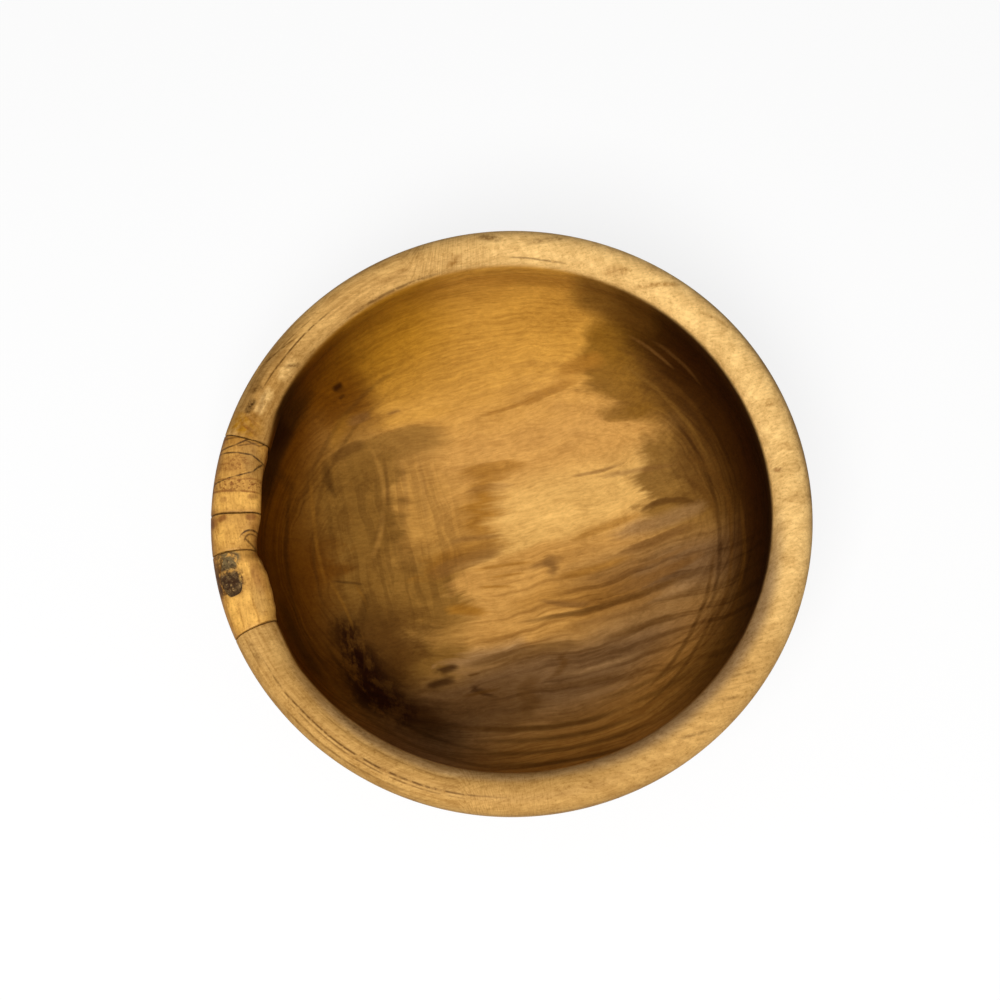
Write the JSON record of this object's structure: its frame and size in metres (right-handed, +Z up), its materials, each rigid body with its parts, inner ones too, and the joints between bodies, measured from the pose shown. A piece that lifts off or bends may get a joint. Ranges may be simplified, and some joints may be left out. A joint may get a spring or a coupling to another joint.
{
  "type": "wooden bowl",
  "caption": "Round turned wooden bowl with thick rounded rim, flat base and smooth hollow; three let-in blocks and a knot plug mend one stretch of the rim.",
  "frame": {"origin": "centre of the flat base, on the surface that the bowl stands on", "axes": "+Z up along the turning axis, towards the mouth; the rim blocks are on the -X side; +Y is the far side in the picture"},
  "size_m": [0.16, 0.16, 0.062],
  "materials": {
    "bowl_wood": "oiled, satin",
    "block_wood": "oiled, satin",
    "knot_wood": "rough, unfinished"
  },
  "bodies": {
    "root": {"bowl_body": "bowl_wood", "rim_block_upper": "block_wood", "rim_block_middle": "block_wood", "rim_block_lower": "block_wood", "knot_plug": "knot_wood"}
  },
  "joints": []
}
